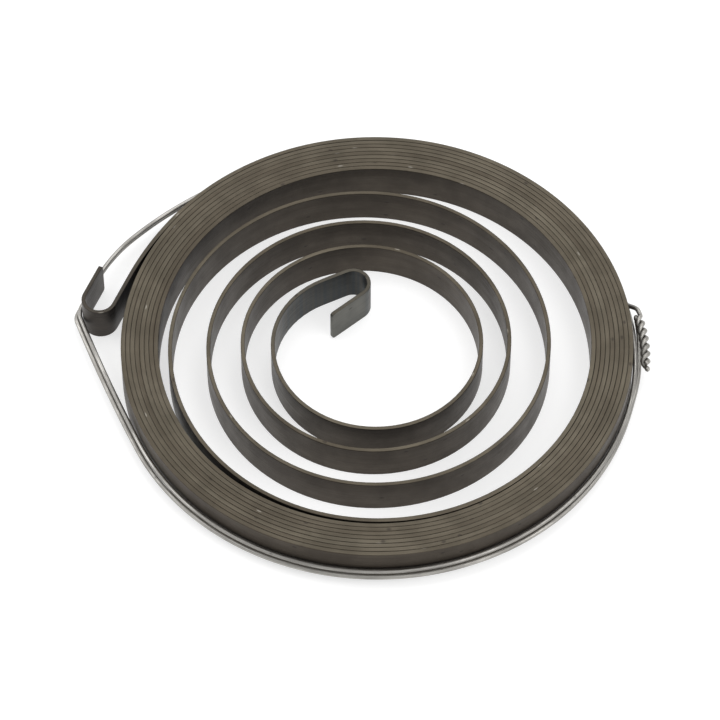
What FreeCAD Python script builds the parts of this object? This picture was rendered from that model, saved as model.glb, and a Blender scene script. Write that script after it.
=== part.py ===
import FreeCAD, Part
import math
import os

os.makedirs("parts", exist_ok=True)

# Recoil starter spring, wound and tied for storage. Lengths are in millimetres.
# Plan angles are in degrees, counter-clockwise from +X, seen from above.
# The coil's outermost arc is centred on the origin and its lower edges lie at z = 0.

# Steel strip
strip_width = 6.0
strip_thickness = 0.6
tip_corner_radius = 0.5

# Close turns, from the outside inwards, wound clockwise
coil_outer_radius = 38.5
close_turn_gap = 0.1
close_quarter_turns = 33
coil_start_angle = 141.0

# Free turns: how much tighter each quarter turn is than the one before it
free_quarter_steps = [0.4, 1.2, 2.1, 1.3, 1.6, 1.2, 1.6, 1.5, 1.4, 0.8, 1.6, 0.2, 1.9, 0.5]
last_turn_step = 2.3
last_turn_angle = 64.0

# Inner hook, folded back towards the hub
inner_lead_length = 4.0
inner_hook_inside_radius = 2.1
inner_hook_turn = 165.5
inner_leg_length = 6.3

# Outer hook, turned back on itself outside the coil
outer_lead_extra_radius = 12.4
outer_lead_turn = 16.0
outer_lead_length = 5.8
outer_hook_inside_radius = 2.1
outer_hook_turn = 180.0
outer_leg_length = 5.8

# Tie wire: two wraps side by side round the coil and the outer hook
wire_diameter = 0.75
wire_sides = 8
wire_step_angle = 6.5
wire_clearance = 0.08
upper_wrap_height = 2.3
lower_span_radius = 300.0
upper_span_extra_radius = 20.0
wire_tip_bend_radius = 25.0

# Where the lower wrap lies, by the way it faces as it goes clockwise from its start:
# that angle, its distance from the upper wrap, and how steeply it lies below it
wrap_spacing = 0.78
lower_wrap_lane = [
    (10, 0.97, 12),
    (-2, wrap_spacing, 39),
    (-15, wrap_spacing, 75),
    (-60, wrap_spacing, 39),
    (-157, wrap_spacing, 39),
    (-203, wrap_spacing, 75),
    (-350, wrap_spacing, 75),
    (-358, 0.0, 75),
]
leaving_angle = 14.5
leaving_run = 0.8

# Twisted ends of the tie wire, folded flat beside the coil on a bowed line
twist_off_coil = 1.9
twist_middle_y = -0.5
twist_bow_radius = 25.0
twist_first_angle = 15.0
twist_rise = 1.1
twist_lead = 2.8
twist_steps = 8
twist_length = 9.9
twist_end_stagger = 1.05
twist_strand_gap = 0.06
start_phase = 215.0
fold_steps = 6

# Worked-out sizes
half_thickness = strip_thickness / 2
coil_centreline_radius = coil_outer_radius - half_thickness
quarter_shrink = (strip_thickness + close_turn_gap) / 4
inner_hook_radius = inner_hook_inside_radius + half_thickness
outer_hook_radius = outer_hook_inside_radius + half_thickness
wire_radius = wire_diameter / 2
wire_offset = half_thickness + wire_clearance + wire_radius
twist_radius = wire_radius + twist_strand_gap / 2
twist_reach = coil_outer_radius + twist_off_coil
upper_span_radius = coil_centreline_radius + wire_offset + upper_span_extra_radius
up = FreeCAD.Vector(0, 0, 1)


def unit(angle):
    """Unit vector in plan at an angle in degrees"""
    return FreeCAD.Vector(math.cos(math.radians(angle)), math.sin(math.radians(angle)), 0)


def angle_of(vector):
    return math.degrees(math.atan2(vector.y, vector.x))


def three_point_arc(centre, radius, first, last):
    middle = (first + last) / 2
    points = [centre + unit(angle) * radius for angle in (first, middle, last)]
    return Part.Arc(*points).toShape()


class Route:
    """Plan route of straight runs and arcs, each tangent to the one before it"""

    def __init__(self, start, heading):
        self.point = start
        self.heading = heading
        self.runs = []

    def straight(self, length):
        end = self.point + unit(self.heading) * length
        self.runs.append(("straight", self.point, end, self.heading))
        self.point = end

    def bend(self, radius, turn):
        """Turn to the left for a positive angle and to the right for a negative one"""
        side = math.copysign(1, turn)
        centre = self.point + unit(self.heading + 90 * side) * radius
        first = self.heading - 90 * side
        self.runs.append(("bend", centre, radius, first, first + turn, side))
        self.heading += turn
        self.point = centre + unit(first + turn) * radius
        return centre

    def stations(self):
        """Points a step apart on the bends, each with the angle its left side faces"""
        found = []
        for run in self.runs:
            if run[0] == "straight":
                found.append((run[1], run[3] + 90))
            else:
                kind, centre, radius, first, last, side = run
                steps = math.ceil(abs(last - first) / wire_step_angle)
                turns = [first + (last - first) * step / steps for step in range(steps)]
                found += [(centre + unit(turn) * radius, turn) for turn in turns]
        return found + [(self.point, self.heading + 90)]

    def edges(self, left=0.0):
        """Edges of the route moved to its left by a distance"""
        found = []
        for run in self.runs:
            if run[0] == "straight":
                shift = unit(run[3] + 90) * left
                found.append(Part.LineSegment(run[1] + shift, run[2] + shift).toShape())
            else:
                kind, centre, radius, first, last, side = run
                found.append(three_point_arc(centre, radius - side * left, first, last))
        return found


def end_cap(route):
    """Edge across the strip at the end of a route"""
    across = unit(route.heading + 90) * half_thickness
    return Part.LineSegment(route.point - across, route.point + across).toShape()


def bowed_span(first_centre, first_radius, second_centre, second_radius, span_radius):
    """Plan angles where one arc of span_radius touches two circles inside it,
    met in turn while going clockwise round both"""
    apart = second_centre - first_centre
    length = apart.Length
    first_reach = span_radius - first_radius
    second_reach = span_radius - second_radius
    along = (first_reach ** 2 - second_reach ** 2 + length ** 2) / (2 * length)
    across = math.sqrt(first_reach ** 2 - along ** 2)
    heading = angle_of(apart)
    middle = first_centre + unit(heading) * along + unit(heading - 90) * across
    return angle_of(first_centre - middle), angle_of(second_centre - middle)


def clockwise(first, last):
    """Turn, as a negative angle, that goes clockwise from one plan angle to another"""
    return -((first - last) % 360)


# Strip from its outer hook to its inner one

coil_start = unit(coil_start_angle) * coil_centreline_radius

outward = Route(coil_start, coil_start_angle + 90)
outward.bend(coil_centreline_radius + outer_lead_extra_radius, outer_lead_turn)
outward.straight(outer_lead_length)
outer_hook_centre = outward.bend(outer_hook_radius, -outer_hook_turn)
outward.straight(outer_leg_length)

inward = Route(coil_start, coil_start_angle - 90)
coil_centres = [inward.bend(coil_centreline_radius, -coil_start_angle)]
turn_radius = coil_centreline_radius
for quarter in range(1, close_quarter_turns):
    turn_radius -= quarter_shrink
    coil_centres.append(inward.bend(turn_radius, -90))
for step in free_quarter_steps:
    turn_radius -= step
    inward.bend(turn_radius, -90)
inward.bend(turn_radius - last_turn_step, -last_turn_angle)
inward.straight(inner_lead_length)
inner_hook_centre = inward.bend(inner_hook_radius, -inner_hook_turn)
inward.straight(inner_leg_length)


def make_strip():
    outline = [end_cap(outward), end_cap(inward)]
    for route in (outward, inward):
        outline += route.edges(half_thickness) + route.edges(-half_thickness)
    face = Part.Face(Part.Wire(Part.__sortEdges__(outline)))
    strip = face.extrude(up * strip_width)
    tip_points = [route.point + up * height for route in (outward, inward) for height in (0, strip_width)]
    corners = [edge for edge in strip.Edges
               if any((edge.CenterOfMass - point).Length < half_thickness / 2 for point in tip_points)]
    return strip.makeFillet(tip_corner_radius, corners)


# Tie wire

leg_normal = outward.heading + 90
hook_wire_radius = outer_hook_radius + wire_offset
tip_bend_centre = outward.point + unit(leg_normal) * (wire_offset - wire_tip_bend_radius)


def coil_wire_radius(quarter):
    return coil_centreline_radius - quarter * quarter_shrink + wire_offset


lower_touch, hook_touch = bowed_span(
    coil_centres[2], coil_wire_radius(2), outer_hook_centre, hook_wire_radius, lower_span_radius)
tip_touch, upper_touch = bowed_span(
    tip_bend_centre, wire_tip_bend_radius, coil_centres[0], coil_wire_radius(0), upper_span_radius)
twist_height = upper_wrap_height + twist_rise
twist_bow_centre = FreeCAD.Vector(twist_reach - twist_bow_radius, twist_middle_y, twist_height)


def tied_loop(first_angle, last_angle):
    """Twice round the coil and the hook, clockwise, in the upper wrap's lane"""
    loop = Route(unit(first_angle) * coil_wire_radius(0), first_angle - 90)
    loop.bend(coil_wire_radius(0), -first_angle)
    for lap_end in (0, last_angle):
        loop.bend(coil_wire_radius(1), -90)
        loop.bend(coil_wire_radius(2), clockwise(-90, lower_touch))
        loop.bend(lower_span_radius, clockwise(lower_touch, hook_touch))
        loop.bend(hook_wire_radius, clockwise(hook_touch, leg_normal))
        loop.straight(outer_leg_length)
        loop.bend(wire_tip_bend_radius, clockwise(leg_normal, tip_touch))
        loop.bend(upper_span_radius, clockwise(tip_touch, upper_touch))
        loop.bend(coil_wire_radius(0), clockwise(upper_touch, lap_end))
    return loop


def lane_place(angle):
    """How far out and how far up a wrap lies from the upper wrap's lane"""
    for first, second in zip(lower_wrap_lane, lower_wrap_lane[1:]):
        if angle >= second[0]:
            part = (first[0] - angle) / (first[0] - second[0])
            spacing = first[1] + (second[1] - first[1]) * part
            droop = math.radians(first[2] + (second[2] - first[2]) * part)
            return spacing * math.cos(droop), -spacing * math.sin(droop)
    return 0.0, 0.0


def wrap_points(first_angle, last_angle):
    found = []
    for point, facing in tied_loop(first_angle, last_angle).stations():
        outward_shift, rise = lane_place(facing)
        found.append(point + unit(facing) * outward_shift + up * (upper_wrap_height + rise))
    return found


def crossing_points(first, last):
    """Points from one place to another that move evenly in plan angle, radius and height"""
    first_angle, first_radius = angle_of(first), math.hypot(first.x, first.y)
    last_angle, last_radius = angle_of(last), math.hypot(last.x, last.y)
    found = []
    for part in (0, 0.25, 0.75, 1):
        angle = first_angle + (last_angle - first_angle) * part
        radius = first_radius + (last_radius - first_radius) * part
        found.append(unit(angle) * radius + up * (first.z + (last.z - first.z) * part))
    return found


def fold_points(first, last):
    """Half circle from one point to another by way of +Y"""
    middle = (first + last) / 2
    arm = (first - last) / 2
    reach = unit(90) * arm.Length
    turns = [math.radians(step * 180 / fold_steps) for step in range(fold_steps + 1)]
    return [middle + arm * math.cos(turn) + reach * math.sin(turn) for turn in turns]


def twist_points(phase, length):
    """One twisted end, wound left-handed from the root to the tip"""
    found = []
    for step in range(round(length * twist_steps / twist_lead) + 1):
        travel = step * twist_lead / twist_steps
        facing = twist_first_angle - math.degrees(travel / twist_bow_radius)
        turn = math.radians(phase + step * 360 / twist_steps)
        out = twist_bow_radius + twist_radius * math.cos(turn)
        found.append(twist_bow_centre + unit(facing) * out + up * twist_radius * math.sin(turn))
    return found


def make_wire():
    start_twist = twist_points(start_phase, twist_length)
    finish_twist = twist_points(start_phase + 180, twist_length - twist_end_stagger)
    landing_angle = math.degrees(math.asin(start_twist[0].y / coil_wire_radius(0)))
    wraps = wrap_points(landing_angle, leaving_angle)
    arrival = finish_twist[0] + unit(twist_first_angle + 90) * leaving_run

    path = start_twist[:0:-1]
    path += fold_points(start_twist[0], wraps[0])[:-1]
    path += wraps[:-1]
    path += crossing_points(wraps[-1], arrival)
    path += finish_twist

    heading = (path[1] - path[0]).normalize()
    side = heading.cross(up).normalize()
    corners = [math.radians((corner + 0.5) * 360 / wire_sides) for corner in range(wire_sides + 1)]
    section = Part.makePolygon([
        path[0] + (side * math.cos(turn) + side.cross(heading) * math.sin(turn)) * wire_radius
        for turn in corners])
    return Part.makePolygon(path).makePipeShell([section], True, False, 1)


make_strip().exportStep("parts/spring_strip.step")
make_wire().exportStep("parts/retaining_wire.step")
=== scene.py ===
import bpy
import math
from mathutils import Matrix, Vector


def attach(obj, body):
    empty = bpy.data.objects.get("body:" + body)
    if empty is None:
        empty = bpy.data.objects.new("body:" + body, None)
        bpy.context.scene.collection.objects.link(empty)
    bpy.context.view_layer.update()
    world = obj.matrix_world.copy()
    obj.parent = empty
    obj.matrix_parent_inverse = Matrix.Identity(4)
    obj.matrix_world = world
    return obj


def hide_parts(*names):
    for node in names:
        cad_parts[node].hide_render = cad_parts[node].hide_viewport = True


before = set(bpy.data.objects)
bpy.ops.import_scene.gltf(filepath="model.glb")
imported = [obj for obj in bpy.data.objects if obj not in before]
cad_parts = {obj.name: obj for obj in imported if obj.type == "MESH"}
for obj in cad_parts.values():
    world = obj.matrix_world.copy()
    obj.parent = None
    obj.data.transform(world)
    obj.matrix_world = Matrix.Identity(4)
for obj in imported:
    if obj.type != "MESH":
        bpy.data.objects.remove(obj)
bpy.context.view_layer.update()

# The part's own sizes, in millimetres and degrees, as in its source
MM = 0.001
strip_width = 6.0
strip_thickness = 0.6
tip_corner_radius = 0.5
strip_edge_radius = 0.08

coil_outer_radius = 38.5
close_turn_gap = 0.1
close_quarter_turns = 33
coil_start_angle = 141.0
free_quarter_steps = [0.4, 1.2, 2.1, 1.3, 1.6, 1.2, 1.6, 1.5, 1.4, 0.8, 1.6, 0.2, 1.9, 0.5]
last_turn_step = 2.3
last_turn_angle = 64.0

inner_lead_length = 4.0
inner_hook_inside_radius = 2.1
inner_hook_turn = 165.5
inner_leg_length = 6.3

outer_lead_extra_radius = 12.4
outer_lead_turn = 16.0
outer_lead_length = 5.8
outer_hook_inside_radius = 2.1
outer_hook_turn = 180.0
outer_leg_length = 5.8

# The round wire drawn here lies a little closer to the strip than the part's many-sided one
wire_diameter = 0.75
wire_clearance = 0.04
upper_wrap_height = 2.3
lower_span_radius = 300.0
upper_span_extra_radius = 20.0
wire_tip_bend_radius = 25.0
wrap_spacing = 0.78
lower_wrap_lane = [
    (10, 0.97, 12),
    (-2, wrap_spacing, 39),
    (-15, wrap_spacing, 75),
    (-60, wrap_spacing, 39),
    (-157, wrap_spacing, 39),
    (-203, wrap_spacing, 75),
    (-350, wrap_spacing, 75),
    (-358, 0.0, 75),
]
leaving_angle = 14.5
leaving_run = 0.8

twist_off_coil = 1.9
twist_middle_y = -0.5
twist_bow_radius = 25.0
twist_first_angle = 15.0
twist_rise = 1.1
twist_lead = 2.8
twist_length = 9.9
twist_end_stagger = 1.05
twist_strand_gap = 0.06
start_phase = 215.0

# How finely the strip and the wire are drawn
strip_step = 1.3
strip_step_angle = 9
drawn_tip_reaches = [0.0, 0.04, 0.12, 0.22, 0.35, tip_corner_radius]
drawn_turn_gap = 0.01
lead_gap = 0.035
lead_gap_start_angle = 75.0
lead_gap_easing = 40.0
wire_step = 0.8
wire_step_angle = 6
twist_steps = 24
wire_sides = 16
wire_box_margin = 0.02
wire_cut_length = 0.3

# Camera, in millimetres and degrees
camera_place = (-2.291, -391.36, 551.27)
camera_elevation = 54.59
camera_lens = 225.0

# Worked-out sizes
half_thickness = strip_thickness / 2
coil_centreline_radius = coil_outer_radius - half_thickness
quarter_shrink = (strip_thickness + close_turn_gap) / 4
inner_hook_radius = inner_hook_inside_radius + half_thickness
outer_hook_radius = outer_hook_inside_radius + half_thickness
wire_radius = wire_diameter / 2
wire_offset = half_thickness + wire_clearance + wire_radius
twist_radius = wire_radius + twist_strand_gap / 2
twist_reach = coil_outer_radius + twist_off_coil
upper_span_radius = coil_centreline_radius + wire_offset + upper_span_extra_radius
up = Vector((0, 0, 1))


def unit(angle):
    return Vector((math.cos(math.radians(angle)), math.sin(math.radians(angle)), 0))


def angle_of(vector):
    return math.degrees(math.atan2(vector.y, vector.x))


def clockwise(first, last):
    return -((first - last) % 360)


class Route:
    """Plan route of straight runs and arcs, each tangent to the one before it"""

    def __init__(self, start, heading):
        self.point = start
        self.heading = heading
        self.runs = []

    def straight(self, length):
        self.runs.append(("straight", self.point, self.heading, length))
        self.point = self.point + unit(self.heading) * length

    def bend(self, radius, turn):
        side = math.copysign(1, turn)
        centre = self.point + unit(self.heading + 90 * side) * radius
        first = self.heading - 90 * side
        self.runs.append(("bend", centre, radius, first, turn, side))
        self.heading += turn
        self.point = centre + unit(first + turn) * radius
        return centre

    def stations(self, reach, turn_step):
        """Points no more than a reach and a turn apart, each with the angle its left side faces"""
        found = []
        for run in self.runs:
            if run[0] == "straight":
                kind, start, heading, length = run
                steps = math.ceil(length / reach)
                found += [(start + unit(heading) * length * i / steps, heading + 90) for i in range(steps)]
            else:
                kind, centre, radius, first, turn, side = run
                length = radius * math.radians(abs(turn))
                steps = max(math.ceil(length / reach), math.ceil(abs(turn) / turn_step))
                for i in range(steps):
                    angle = first + turn * i / steps
                    facing = angle if side < 0 else angle + 180
                    found.append((centre + unit(angle) * radius, facing))
        return found + [(self.point, self.heading + 90)]


def strip_stations():
    """The strip's centre line from its outer tip to its inner one"""
    start = unit(coil_start_angle) * coil_centreline_radius
    outward = Route(start, coil_start_angle + 90)
    outward.bend(coil_centreline_radius + outer_lead_extra_radius, outer_lead_turn)
    outward.straight(outer_lead_length)
    outer_hook_centre = outward.bend(outer_hook_radius, -outer_hook_turn)
    outward.straight(outer_leg_length)

    inward = Route(start, coil_start_angle - 90)
    coil_centres = [inward.bend(coil_centreline_radius, -coil_start_angle)]
    radius = coil_centreline_radius
    for quarter in range(1, close_quarter_turns):
        radius -= quarter_shrink
        coil_centres.append(inward.bend(radius, -90))
    for step in free_quarter_steps:
        radius -= step
        inward.bend(radius, -90)
    inward.bend(radius - last_turn_step, -last_turn_angle)
    inward.straight(inner_lead_length)
    inward.bend(inner_hook_radius, -inner_hook_turn)
    inward.straight(inner_leg_length)

    outer_end = outward.stations(strip_step, strip_step_angle)
    line = [(point, facing + 180) for point, facing in reversed(outer_end)]
    line += inward.stations(strip_step, strip_step_angle)[1:]
    return line, outward, outer_hook_centre, coil_centres


def near_tips(line, reaches):
    """Adds stations close to both ends of a line"""
    first, last = line[0], line[-1]
    ahead, behind = unit(first[1] - 90), unit(last[1] + 90)
    start = [(first[0] + ahead * reach, first[1]) for reach in reaches]
    finish = [(last[0] + behind * reach, last[1]) for reach in reversed(reaches)]
    return start + line[1:-1] + finish


def runs_along(points):
    """Distance of each point from the first one, along them"""
    found = [0.0]
    for first, second in zip(points, points[1:]):
        found.append(found[-1] + (second - first).length)
    return found


def make_mesh(name, rings, run, around):
    """Skin over rings of points, with a map of the distances along it and around it in metres"""
    count = len(rings[0])
    points = [tuple(point * MM) for ring in rings for point in ring]
    faces = []
    places = []
    for i in range(len(rings) - 1):
        for j in range(count):
            k = (j + 1) % count
            faces.append((i * count + j, i * count + k, (i + 1) * count + k, (i + 1) * count + j))
            near, far = around[j], around[j + 1]
            places += [(run[i], near), (run[i], far), (run[i + 1], far), (run[i + 1], near)]
    last = (len(rings) - 1) * count
    faces.append(tuple(range(count - 1, -1, -1)))
    faces.append(tuple(range(last, last + count)))
    places += [(run[0], around[j]) for j in range(count - 1, -1, -1)]
    places += [(run[-1], around[j]) for j in range(count)]
    mesh = bpy.data.meshes.new(name)
    mesh.from_pydata(points, [], faces)
    layer = mesh.uv_layers.new(name="run")
    layer.data.foreach_set("uv", [value * MM for place in places for value in place])
    mesh.shade_smooth()
    mesh.validate()
    piece = bpy.data.objects.new(name, mesh)
    bpy.context.scene.collection.objects.link(piece)
    return piece


def strip_section():
    """Outline of the strip: across its thickness and up its width, with rounded edges"""
    corner = strip_edge_radius
    out, tall = half_thickness - corner, strip_width - corner
    found = []
    for x, z, first in ((out, corner, -90), (out, tall, 0), (-out, tall, 90), (-out, corner, 180)):
        for step in range(4):
            way = unit(first + 30 * step)
            found.append((x + corner * way.x, z + corner * way.y))
    faced = []
    for i, (x, z) in enumerate(found):
        before, after = found[i - 1], found[(i + 1) % len(found)]
        if i % 4 == 0:
            faced.append((x + (before[0] - x) * 0.06, z + (before[1] - z) * 0.02))
        faced.append((x, z))
        if i % 4 == 3:
            faced.append((x + (after[0] - x) * 0.06, z + (after[1] - z) * 0.02))
    return faced


def reach_inwards(point):
    """How far past its inner face the strip is drawn, so that no light shows between the close turns.
    The outer lead runs nearer to the turn inside it, so it reaches less."""
    place = math.hypot(point.x, point.y)
    innermost = coil_centreline_radius - (close_quarter_turns - 1) * quarter_shrink
    inside = min(max((place - innermost + 0.6) / 0.3, 0), 1)
    outside = min(max((coil_centreline_radius + 0.4 - place) / 0.3, 0), 1)
    plan_angle = math.degrees(math.atan2(point.y, point.x))
    on_lead = place > coil_centreline_radius - 0.1
    narrowed = min(max((plan_angle - lead_gap_start_angle) / lead_gap_easing, 0), 1) if on_lead else 0
    gap = close_turn_gap + (lead_gap - close_turn_gap) * narrowed
    return (gap - drawn_turn_gap) * inside * outside


def make_strip():
    line, outward, outer_hook_centre, coil_centres = strip_stations()
    line = near_tips(line, drawn_tip_reaches)
    section = strip_section()
    run = runs_along([point for point, facing in line])
    total = run[-1]
    rings = []
    for (point, facing), travelled in zip(line, run):
        from_tip = min(travelled, total - travelled)
        left = max(tip_corner_radius - from_tip, 0.0)
        inset = tip_corner_radius - math.sqrt(tip_corner_radius ** 2 - left ** 2)
        thin = 1.0 if from_tip > 0.03 else 0.8
        across = unit(facing)
        more = reach_inwards(point)
        height_share = 1 - 2 * inset / strip_width
        ring = []
        for x, z in section:
            reach = (x if x > 0 else x - more) * thin
            ring.append(point + across * reach + up * (inset + z * height_share))
        rings.append(ring)
    around = runs_along([Vector((x, z, 0)) for x, z in section + section[:1]])
    piece = make_mesh("spring_strip_finished", rings, run, around)
    return piece, total


def bowed_span(first_centre, first_radius, second_centre, second_radius, span_radius):
    """Plan angles where one arc of span_radius touches two circles inside it,
    met in turn while going clockwise round both"""
    apart = second_centre - first_centre
    length = apart.length
    first_reach = span_radius - first_radius
    second_reach = span_radius - second_radius
    along = (first_reach ** 2 - second_reach ** 2 + length ** 2) / (2 * length)
    across = math.sqrt(first_reach ** 2 - along ** 2)
    heading = angle_of(apart)
    middle = first_centre + unit(heading) * along + unit(heading - 90) * across
    return angle_of(first_centre - middle), angle_of(second_centre - middle)


def coil_wire_radius(quarter):
    return coil_centreline_radius - quarter * quarter_shrink + wire_offset


def lane_place(angle):
    """How far out and how far up a wrap lies from the upper wrap's lane"""
    for first, second in zip(lower_wrap_lane, lower_wrap_lane[1:]):
        if angle >= second[0]:
            part = (first[0] - angle) / (first[0] - second[0])
            part = min(max(part, 0), 1)
            part = part * part * (3 - 2 * part)
            spacing = first[1] + (second[1] - first[1]) * part
            droop = math.radians(first[2] + (second[2] - first[2]) * part)
            return spacing * math.cos(droop), -spacing * math.sin(droop)
    return 0.0, 0.0


def wrap_points(first_angle, last_angle):
    """Twice round the coil and the outer hook, clockwise, each wrap in its own lane"""
    line, outward, outer_hook_centre, coil_centres = strip_stations()
    leg_normal = outward.heading + 90
    hook_wire_radius = outer_hook_radius + wire_offset
    tip_bend_centre = outward.point + unit(leg_normal) * (wire_offset - wire_tip_bend_radius)
    lower_touch, hook_touch = bowed_span(
        coil_centres[2], coil_wire_radius(2), outer_hook_centre, hook_wire_radius, lower_span_radius)
    tip_touch, upper_touch = bowed_span(
        tip_bend_centre, wire_tip_bend_radius, coil_centres[0], coil_wire_radius(0), upper_span_radius)
    loop = Route(unit(first_angle) * coil_wire_radius(0), first_angle - 90)
    loop.bend(coil_wire_radius(0), -first_angle)
    for lap_end in (0, last_angle):
        loop.bend(coil_wire_radius(1), -90)
        loop.bend(coil_wire_radius(2), clockwise(-90, lower_touch))
        loop.bend(lower_span_radius, clockwise(lower_touch, hook_touch))
        loop.bend(hook_wire_radius, clockwise(hook_touch, leg_normal))
        loop.straight(outer_leg_length)
        loop.bend(wire_tip_bend_radius, clockwise(leg_normal, tip_touch))
        loop.bend(upper_span_radius, clockwise(tip_touch, upper_touch))
        loop.bend(coil_wire_radius(0), clockwise(upper_touch, lap_end))
    found = []
    for point, facing in loop.stations(wire_step, wire_step_angle):
        outward_shift, rise = lane_place(facing)
        found.append(point + unit(facing) * outward_shift + up * (upper_wrap_height + rise))
    return found


def eased_points(first, first_way, last, last_way, steps):
    """Points on a smooth line between two places, leaving and arriving along two directions"""
    found = []
    for step in range(1, steps):
        t = step / steps
        found.append(
            first * (2 * t ** 3 - 3 * t ** 2 + 1) + first_way * (t ** 3 - 2 * t ** 2 + t)
            + last * (3 * t ** 2 - 2 * t ** 3) + last_way * (t ** 3 - t ** 2))
    return found


def twist_points(phase, length):
    """One twisted end, wound left-handed from the root to the tip"""
    centre = Vector((twist_reach - twist_bow_radius, twist_middle_y, upper_wrap_height + twist_rise))
    found = []
    for step in range(round(length * twist_steps / twist_lead) + 1):
        travel = step * twist_lead / twist_steps
        facing = twist_first_angle - math.degrees(travel / twist_bow_radius)
        turn = math.radians(phase + step * 360 / twist_steps)
        out = twist_bow_radius + twist_radius * math.cos(turn)
        found.append(centre + unit(facing) * out + up * twist_radius * math.sin(turn))
    return found


def make_tube(name, points, radius, sides):
    """Round wire through points, with slightly pinched cut ends"""
    run = runs_along(points)
    rings = []
    side = None
    for i, point in enumerate(points):
        way = (points[min(i + 1, len(points) - 1)] - points[max(i - 1, 0)]).normalized()
        if side is None:
            side = way.cross(up).normalized()
        else:
            side = (side - way * side.dot(way)).normalized()
        other = way.cross(side)
        from_end = min(run[i], run[-1] - run[i])
        pinch = 1 - 0.35 * max(0.0, 1 - from_end / wire_cut_length) ** 2
        ring = []
        for j in range(sides):
            turn = 2 * math.pi * j / sides
            across, upwards = radius * math.cos(turn), radius * pinch * math.sin(turn)
            ring.append(point + side * across + other * upwards)
        rings.append(ring)
    around = [2 * math.pi * radius * j / sides for j in range(sides + 1)]
    return make_mesh(name, rings, run, around)


def make_wire():
    start_twist = twist_points(start_phase, twist_length)
    finish_twist = twist_points(start_phase + 180, twist_length - twist_end_stagger)
    landing_angle = math.degrees(math.asin(start_twist[0].y / coil_wire_radius(0)))
    wraps = wrap_points(landing_angle, leaving_angle)
    fold, landing = start_twist[0], wraps[0]
    middle, arm = (fold + landing) / 2, (fold - landing) / 2
    turns = [math.radians(turn) for turn in range(15, 180, 15)]
    bend = [
        middle + arm * math.cos(turn) + unit(90) * arm.length * math.sin(turn)
        for turn in turns]
    along_twist = unit(twist_first_angle - 90)
    arrival = finish_twist[0] - along_twist * leaving_run
    leaving_way = (wraps[-1] - wraps[-2]).normalized() * 4
    arriving_way = (finish_twist[1] - finish_twist[0]).normalized() * 2 + along_twist * 2
    path = start_twist[::-1] + bend + wraps
    path += eased_points(wraps[-1], leaving_way, arrival, along_twist * 4, 10)
    path.append(arrival)
    path += eased_points(arrival, along_twist, finish_twist[0], arriving_way * 0.25, 3)
    path += finish_twist
    return make_tube("retaining_wire_finished", path, wire_radius - wire_box_margin, wire_sides)


def node(tree, kind, inputs=(), **settings):
    """A node with its settings made and its inputs set or joined"""
    made = tree.nodes.new(kind)
    for name, value in settings.items():
        setattr(made, name, value)
    for key, value in dict(inputs).items():
        if isinstance(value, bpy.types.NodeSocket):
            tree.links.new(value, made.inputs[key])
        else:
            made.inputs[key].default_value = value
    return made


def worked(tree, operation, first, second=0.0, third=0.0):
    return node(tree, "ShaderNodeMath", {0: first, 1: second, 2: third}, operation=operation).outputs[0]


def spread(tree, value, low, high, new_low=0.0, new_high=1.0):
    """A value from low to high turned smoothly into one from new_low to new_high"""
    made = node(tree, "ShaderNodeMapRange", {
        "Value": value, "From Min": low, "From Max": high, "To Min": new_low, "To Max": new_high},
        interpolation_type="SMOOTHSTEP")
    return made.outputs[0]


def blended(tree, amount, first, second):
    made = node(tree, "ShaderNodeMix", {0: amount, 6: first, 7: second}, data_type="RGBA")
    return made.outputs[2]


def new_group(name, inputs, outputs):
    """An empty node group with named inputs and their defaults, and its two end nodes"""
    group = bpy.data.node_groups.new(name, "ShaderNodeTree")
    for label, kind, default in inputs:
        socket = group.interface.new_socket(label, in_out="INPUT", socket_type=kind)
        if default is not None:
            socket.default_value = default
    for label, kind in outputs:
        group.interface.new_socket(label, in_out="OUTPUT", socket_type=kind)
    return group, group.nodes.new("NodeGroupInput"), group.nodes.new("NodeGroupOutput")


def in_millimetres(tree, value):
    return worked(tree, "MULTIPLY", value, 1000)


def lengthwise_streaks_group():
    """Fine lines that rolling or drawing leaves along the metal"""
    group, start, finish = new_group(
        "lengthwise_streaks",
        [("Run", "NodeSocketFloat", 0.0), ("Around", "NodeSocketFloat", 0.0),
         ("Length mm", "NodeSocketFloat", 20.0), ("Width mm", "NodeSocketFloat", 0.2),
         ("Contrast", "NodeSocketFloat", 0.5)],
        [("Streak", "NodeSocketFloat")])
    length, width = start.outputs["Length mm"], start.outputs["Width mm"]
    along = worked(group, "DIVIDE", in_millimetres(group, start.outputs["Run"]), length)
    across = worked(group, "DIVIDE", in_millimetres(group, start.outputs["Around"]), width)
    place = node(group, "ShaderNodeCombineXYZ", {0: along, 1: across})
    grain = node(group, "ShaderNodeTexNoise", {
        "Vector": place.outputs[0], "Scale": 1.0, "Detail": 4.0, "Roughness": 0.6}, noise_dimensions="2D")
    reach = worked(group, "MULTIPLY", start.outputs["Contrast"], 0.5)
    low = worked(group, "SUBTRACT", 0.5, reach)
    high = worked(group, "ADD", 0.5, reach)
    group.links.new(spread(group, grain.outputs["Fac"], low, high), finish.inputs["Streak"])
    return group


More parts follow.
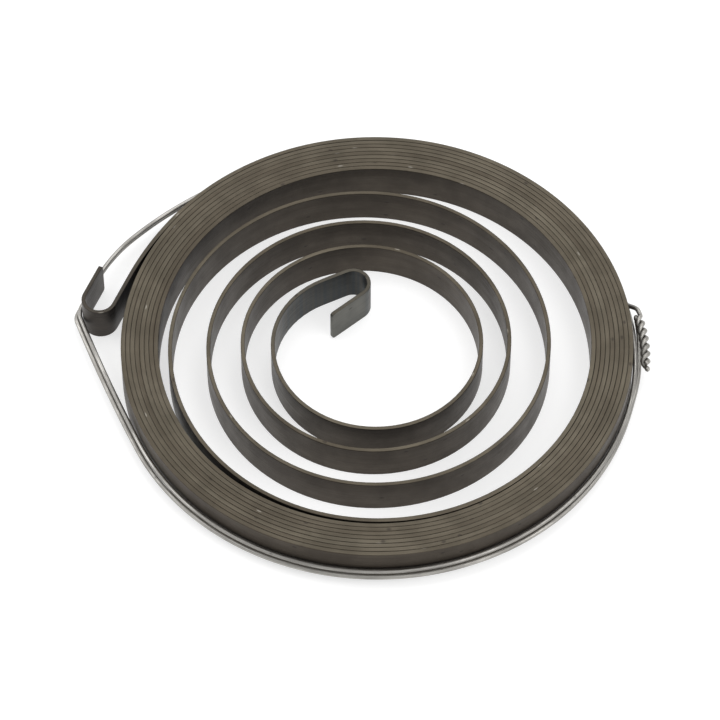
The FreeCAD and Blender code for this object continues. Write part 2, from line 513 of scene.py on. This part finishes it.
def scattered_nicks_group():
    """Small marks and specks left by handling"""
    group, start, finish = new_group(
        "scattered_nicks",
        [("Run", "NodeSocketFloat", 0.0), ("Around", "NodeSocketFloat", 0.0),
         ("Spacing mm", "NodeSocketFloat", 3.0), ("Stretch", "NodeSocketFloat", 3.0),
         ("Share", "NodeSocketFloat", 0.1)],
        [("Nick", "NodeSocketFloat")])
    spacing = start.outputs["Spacing mm"]
    along = worked(group, "DIVIDE", in_millimetres(group, start.outputs["Run"]), spacing)
    along = worked(group, "DIVIDE", along, start.outputs["Stretch"])
    across = worked(group, "DIVIDE", in_millimetres(group, start.outputs["Around"]), spacing)
    place = node(group, "ShaderNodeCombineXYZ", {0: along, 1: across})
    cells = node(group, "ShaderNodeTexVoronoi", {
        "Vector": place.outputs[0], "Scale": 1.0, "Randomness": 1.0}, voronoi_dimensions="2D")
    near = spread(group, cells.outputs["Distance"], 0.16, 0.05)
    tone = node(group, "ShaderNodeSeparateColor", {0: cells.outputs["Color"]})
    chosen = worked(group, "LESS_THAN", tone.outputs[0], start.outputs["Share"])
    group.links.new(worked(group, "MULTIPLY", near, chosen), finish.inputs["Nick"])
    return group


def place_group(tree, group, inputs):
    return node(tree, "ShaderNodeGroup", inputs, node_tree=group).outputs[0]


def new_finish(name):
    """A material with its shader and the places along and around the metal"""
    finish = bpy.data.materials.new(name)
    finish.use_nodes = True
    tree = finish.node_tree
    shader = tree.nodes["Principled BSDF"]
    spots = node(tree, "ShaderNodeUVMap", uv_map="run")
    split = node(tree, "ShaderNodeSeparateXYZ", {0: spots.outputs[0]})
    return finish, tree, shader, split.outputs[0], split.outputs[1]


def tempered_steel(streaks, nicks, total):
    """Dark tempered strip: rolled walls, lighter edges, a dark outer hook and a bluish inner one"""
    finish, tree, shader, run, around = new_finish("tempered_strip_steel")
    total = total * MM
    shader.inputs["Metallic"].default_value = 1.0
    spot = node(tree, "ShaderNodeTexCoord")

    fine = place_group(tree, streaks, {
        "Run": run, "Around": around, "Length mm": 14.0, "Width mm": 0.22, "Contrast": 0.55})
    broad = place_group(tree, streaks, {
        "Run": run, "Around": around, "Length mm": 45.0, "Width mm": 2.4, "Contrast": 0.5})
    cloud = node(tree, "ShaderNodeTexNoise", {
        "Vector": spot.outputs["Object"], "Scale": 230.0, "Detail": 5.0, "Roughness": 0.6})
    cloud = spread(tree, cloud.outputs["Fac"], 0.3, 0.7)
    marks = place_group(tree, nicks, {
        "Run": run, "Around": around, "Spacing mm": 1.7, "Stretch": 1.8, "Share": 0.09})

    wall = blended(tree, fine, (0.047, 0.038, 0.030, 1), (0.076, 0.063, 0.049, 1))
    wall = blended(tree, worked(tree, "MULTIPLY", broad, 0.5), wall, (0.099, 0.085, 0.070, 1))
    wall = blended(tree, worked(tree, "MULTIPLY", cloud, 0.35), wall, (0.042, 0.035, 0.029, 1))

    at_outer_hook = spread(tree, run, 0.034, 0.015)
    at_inner_hook = spread(tree, run, total - 0.046, total - 0.018)
    bands = node(tree, "ShaderNodeTexNoise", {
        "W": worked(tree, "MULTIPLY", run, 260.0), "Detail": 0.0}, noise_dimensions="1D")
    bands = spread(tree, bands.outputs["Fac"], 0.25, 0.75)
    dark = blended(tree, fine, (0.036, 0.033, 0.031, 1), (0.066, 0.058, 0.051, 1))
    blue = blended(tree, bands, (0.050, 0.060, 0.066, 1), (0.070, 0.070, 0.066, 1))
    pale = blended(tree, cloud, (0.088, 0.090, 0.082, 1), (0.155, 0.155, 0.140, 1))
    blue = blended(tree, spread(tree, run, total - 0.0085, total - 0.0050), blue, pale)
    wall = blended(tree, worked(tree, "MULTIPLY", at_outer_hook, 0.85), wall, dark)
    wall = blended(tree, worked(tree, "MULTIPLY", at_inner_hook, 0.85), wall, blue)

    facing = node(tree, "ShaderNodeSeparateXYZ", {0: spot.outputs["Normal"]})
    on_edge = spread(tree, worked(tree, "ABSOLUTE", facing.outputs[2]), 0.45, 0.9)
    edge = blended(tree, fine, (0.085, 0.073, 0.055, 1), (0.137, 0.121, 0.093, 1))
    edge = blended(tree, worked(tree, "MULTIPLY", cloud, 0.45), edge, (0.073, 0.064, 0.049, 1))
    edge = blended(tree, worked(tree, "MULTIPLY", broad, 0.55), edge, (0.052, 0.042, 0.031, 1))
    edge = blended(tree, worked(tree, "MULTIPLY", at_outer_hook, 0.8), edge, (0.048, 0.043, 0.038, 1))
    edge = blended(tree, worked(tree, "MULTIPLY", at_inner_hook, 0.7), edge, (0.062, 0.058, 0.050, 1))
    flecks = place_group(tree, nicks, {
        "Run": run, "Around": around, "Spacing mm": 0.8, "Stretch": 4.5, "Share": 0.035})
    edge = blended(tree, worked(tree, "MULTIPLY", flecks, 0.45), edge, (0.36, 0.34, 0.30, 1))
    colour = blended(tree, on_edge, wall, edge)
    colour = blended(tree, worked(tree, "MULTIPLY", marks, 0.6), colour, (0.028, 0.024, 0.022, 1))
    tree.links.new(colour, shader.inputs["Base Color"])

    rough = spread(tree, fine, 0.0, 1.0, 0.36, 0.48)
    rough = worked(tree, "ADD", rough, worked(tree, "MULTIPLY", cloud, 0.08))
    tree.links.new(rough, shader.inputs["Roughness"])
    height = worked(tree, "ADD", worked(tree, "MULTIPLY", fine, 0.5), worked(tree, "MULTIPLY", marks, -0.8))
    bump = node(tree, "ShaderNodeBump", {"Strength": 0.35, "Distance": 0.00003, "Height": height})
    tree.links.new(bump.outputs[0], shader.inputs["Normal"])
    return finish


def drawn_wire(streaks, nicks):
    """Bright drawn steel wire with fine lines along it"""
    finish, tree, shader, run, around = new_finish("drawn_tie_wire")
    shader.inputs["Metallic"].default_value = 1.0
    fine = place_group(tree, streaks, {
        "Run": run, "Around": around, "Length mm": 9.0, "Width mm": 0.16, "Contrast": 0.6})
    dull = place_group(tree, streaks, {
        "Run": run, "Around": around, "Length mm": 5.0, "Width mm": 1.5, "Contrast": 0.4})
    marks = place_group(tree, nicks, {
        "Run": run, "Around": around, "Spacing mm": 1.1, "Stretch": 2.0, "Share": 0.10})
    colour = blended(tree, fine, (0.31, 0.30, 0.28, 1), (0.51, 0.495, 0.465, 1))
    colour = blended(tree, worked(tree, "MULTIPLY", dull, 0.35), colour, (0.20, 0.19, 0.175, 1))
    colour = blended(tree, worked(tree, "MULTIPLY", marks, 0.5), colour, (0.07, 0.065, 0.06, 1))
    tree.links.new(colour, shader.inputs["Base Color"])
    tree.links.new(spread(tree, dull, 0.0, 1.0, 0.40, 0.56), shader.inputs["Roughness"])
    bump = node(tree, "ShaderNodeBump", {"Strength": 0.3, "Distance": 0.00002, "Height": fine})
    tree.links.new(bump.outputs[0], shader.inputs["Normal"])
    return finish


def seen_directly(tree):
    """1 where the camera, a reflection or glass looks at the surface, and 0 for light bouncing off it"""
    path = node(tree, "ShaderNodeLightPath")
    seen = worked(tree, "MAXIMUM", path.outputs["Is Camera Ray"], path.outputs["Is Glossy Ray"])
    return worked(tree, "MAXIMUM", seen, path.outputs["Is Transmission Ray"])


def make_floor():
    """White floor just under the part, which shows its shadow faintly"""
    mesh = bpy.data.meshes.new("studio_floor")
    reach = 6.0
    corners = [(-reach, -reach, 0), (reach, -reach, 0), (reach, reach, 0), (-reach, reach, 0)]
    mesh.from_pydata(corners, [], [(0, 1, 2, 3)])
    floor = bpy.data.objects.new("studio_floor", mesh)
    floor.location.z = -0.00002
    bpy.context.scene.collection.objects.link(floor)
    paper = bpy.data.materials.new("white_floor")
    paper.use_nodes = True
    tree = paper.node_tree
    tree.nodes.clear()
    matt = node(tree, "ShaderNodeBsdfDiffuse", {"Color": (0.50, 0.50, 0.50, 1)})
    glow = node(tree, "ShaderNodeEmission", {
        "Color": (1, 1, 1, 1), "Strength": worked(tree, "MULTIPLY", seen_directly(tree), 0.62)})
    both = node(tree, "ShaderNodeAddShader", {0: matt.outputs[0], 1: glow.outputs[0]})
    node(tree, "ShaderNodeOutputMaterial", {0: both.outputs[0]})
    mesh.materials.append(paper)


def make_lights():
    """White surroundings and three soft boxes that point at the part"""
    world = bpy.data.worlds.new("studio")
    bpy.context.scene.world = world
    world.use_nodes = True
    tree = world.node_tree
    tree.nodes.clear()
    seen = node(tree, "ShaderNodeLightPath").outputs["Is Camera Ray"]
    strength = spread(tree, seen, 0, 1, 0.62, 1.0)
    sky = node(tree, "ShaderNodeBackground", {"Color": (1, 1, 1, 1), "Strength": strength})
    node(tree, "ShaderNodeOutputWorld", {0: sky.outputs[0]})
    for name, place, size, power in (
            ("soft_box_back", (0.10, 0.45, 0.75), 0.7, 2.6),
            ("soft_box_left", (-0.65, 0.15, 0.50), 0.5, 2.2),
            ("soft_box_front_right", (0.55, -0.35, 0.70), 0.6, 3.2)):
        lamp = bpy.data.lights.new(name, "AREA")
        lamp.size = size
        lamp.energy = power
        box = bpy.data.objects.new(name, lamp)
        box.location = place
        box.rotation_mode = "QUATERNION"
        box.rotation_quaternion = (-Vector(place)).to_track_quat("-Z", "Y")
        bpy.context.scene.collection.objects.link(box)


def make_camera():
    data = bpy.data.cameras.new("camera")
    data.sensor_width = 36.0
    data.lens = camera_lens
    data.clip_start = 0.01
    data.clip_end = 50.0
    camera = bpy.data.objects.new("camera", data)
    camera.location = Vector(camera_place) * MM
    camera.rotation_euler = (math.radians(90 - camera_elevation), 0, 0)
    bpy.context.scene.collection.objects.link(camera)
    bpy.context.scene.camera = camera


bpy.context.scene.view_settings.view_transform = "Standard"

strip, strip_length = make_strip()
wire = make_wire()
streaks = lengthwise_streaks_group()
nicks = scattered_nicks_group()
strip.data.materials.append(tempered_steel(streaks, nicks, strip_length))
wire.data.materials.append(drawn_wire(streaks, nicks))
for piece, cad_node, slot in (
        (strip, "spring_strip", "tempered_steel"), (wire, "retaining_wire", "tie_wire")):
    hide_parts(cad_node)
    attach(piece, "root")

make_floor()
make_lights()
make_camera()
